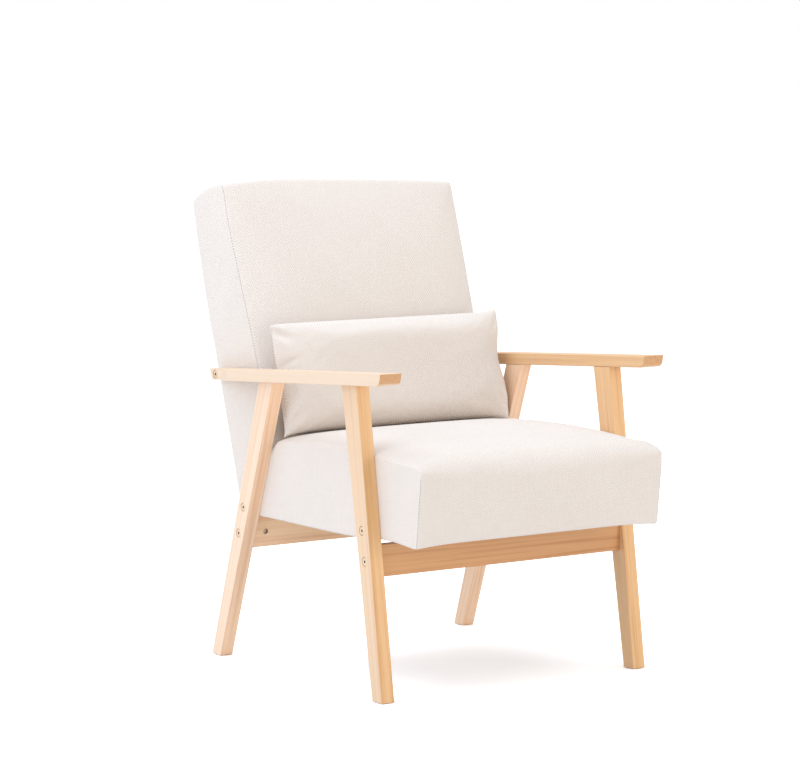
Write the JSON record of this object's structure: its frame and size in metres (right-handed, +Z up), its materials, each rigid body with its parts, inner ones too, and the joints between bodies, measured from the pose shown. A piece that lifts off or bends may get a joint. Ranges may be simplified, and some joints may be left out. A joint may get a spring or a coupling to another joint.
{
  "type": "wooden armchair",
  "caption": "Low wooden armchair with leaning tapered legs, flat sloping armrests, a sprung upholstered seat, a reclined upholstered back and a loose lumbar pillow.",
  "frame": {"origin": "on the floor, under the middle of the chair's overall width and depth", "axes": "+Z up, -Y the way the sitter faces, +X to the sitter's left"},
  "size_m": [0.586, 0.7092, 0.8359],
  "materials": {
    "beech": "pale straight-grained hardwood, clear satin lacquer",
    "frame_softwood": "sawn softwood, unfinished, hidden in the upholstery",
    "linen_weave": "cream linen-look weave with fine diagonal dots",
    "foam": "soft open-cell foam and fibre filling, hidden",
    "felt": "needled felt, hidden",
    "dust_cloth": "thin black non-woven cloth",
    "webbing": "elastic woven webbing, hidden",
    "bolt_steel": "pale plated steel, satin",
    "spring_steel": "drawn spring wire and pressed clips",
    "glide_plastic": "dark nylon"
  },
  "bodies": {
    "chair": {"leg_front_left": "beech", "leg_front_right": "beech", "leg_rear_left": "beech", "leg_rear_right": "beech", "armrest_left": "beech", "armrest_right": "beech", "front_rail": "beech", "rear_rail": "beech", "rail_dowels": "beech", "arm_dowels": "beech", "foot_glide_front_left": "glide_plastic", "foot_glide_front_right": "glide_plastic", "foot_glide_rear_left": "glide_plastic", "foot_glide_rear_right": "glide_plastic", "seat_side_board_left": "frame_softwood", "seat_side_board_right": "frame_softwood", "seat_front_board": "frame_softwood", "seat_rear_board": "frame_softwood", "seat_corner_blocks": "frame_softwood", "back_stile_left": "frame_softwood", "back_stile_right": "frame_softwood", "back_top_rail": "frame_softwood", "back_lumbar_rail": "frame_softwood", "back_bottom_rail": "frame_softwood", "rail_bolts": "bolt_steel", "seat_frame_bolts": "bolt_steel", "back_foot_bolts": "bolt_steel", "armrest_bolts": "bolt_steel", "seat_to_back_bolts": "bolt_steel", "rail_barrel_nuts": "bolt_steel", "seat_frame_inserts": "bolt_steel", "back_foot_inserts": "bolt_steel", "armrest_inserts": "bolt_steel", "seat_to_back_tee_nuts": "bolt_steel", "seat_spring_1": "spring_steel", "seat_spring_2": "spring_steel", "seat_spring_3": "spring_steel", "seat_spring_4": "spring_steel", "seat_spring_5": "spring_steel", "seat_spring_clips": "spring_steel", "seat_cover": "linen_weave", "back_cover": "linen_weave", "back_rear_panel": "linen_weave", "seat_foam": "foam", "back_foam": "foam", "seat_spring_pad": "felt", "seat_dust_cover": "dust_cloth", "back_strap_1": "webbing", "back_strap_2": "webbing", "back_strap_3": "webbing", "back_strap_4": "webbing"},
    "pillow": {"pillow_cover": "linen_weave", "pillow_filling": "foam"}
  },
  "joints": [
    {"name": "pillow_lift", "type": "slide", "parent": "chair", "child": "pillow", "axis": [0, 0, 1], "range_m": [0, 0.45]}
  ]
}
